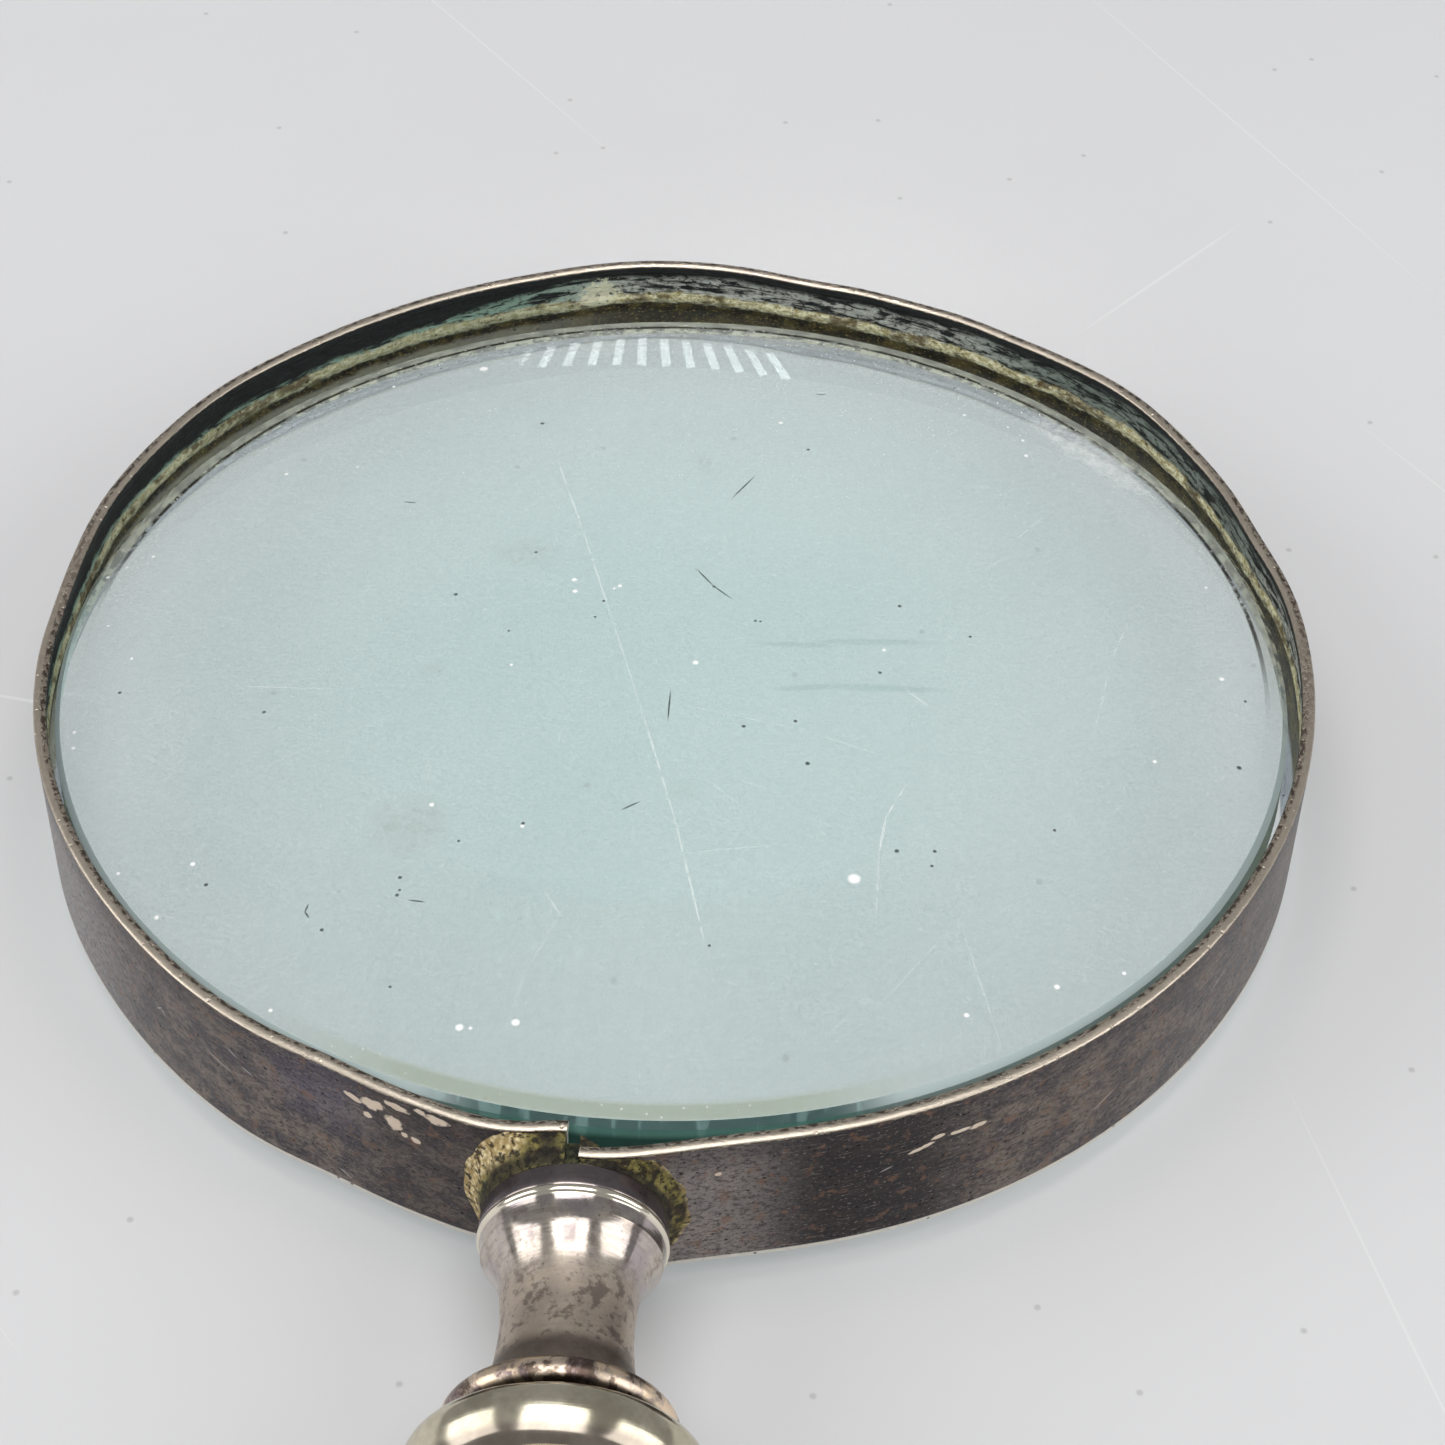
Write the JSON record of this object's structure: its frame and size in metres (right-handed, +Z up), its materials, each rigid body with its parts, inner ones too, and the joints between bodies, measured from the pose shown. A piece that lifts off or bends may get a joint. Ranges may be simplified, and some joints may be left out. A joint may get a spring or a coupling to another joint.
{
  "type": "hand lens",
  "caption": "Large round hand lens with a worn silvered band, soldered turned neck, bead, ferrule and a dark turned wooden handle, lying at rest",
  "frame": {"origin": "centre of the bottom of the bounding box, on the surface that the lens lies on", "axes": "+Z up from that surface, +Y from the handle towards the glass, +X to the right when looking along +Y"},
  "size_m": [0.1012, 0.2448, 0.0239],
  "materials": {
    "glass": "clear polished glass with a faint green-blue tint, dust and fine scratches",
    "tarnished_plate": "silver-plated brass, tarnished nearly black with worn cream patches",
    "silver_plate": "worn grey silver plate on brass, half polished",
    "solder": "matte solder crust, tan to olive green, pitted",
    "dark_wood": "dark red-brown turned hardwood, polished by use",
    "steel": "plain steel, slightly dull"
  },
  "bodies": {
    "root": {"lens": "glass", "rim_band": "tarnished_plate", "solder_left": "solder", "solder_right": "solder", "neck": "silver_plate", "collar": "tarnished_plate", "ferrule": "silver_plate", "tang": "steel", "handle": "dark_wood", "butt_cap": "silver_plate", "butt_screw": "steel"}
  },
  "joints": []
}
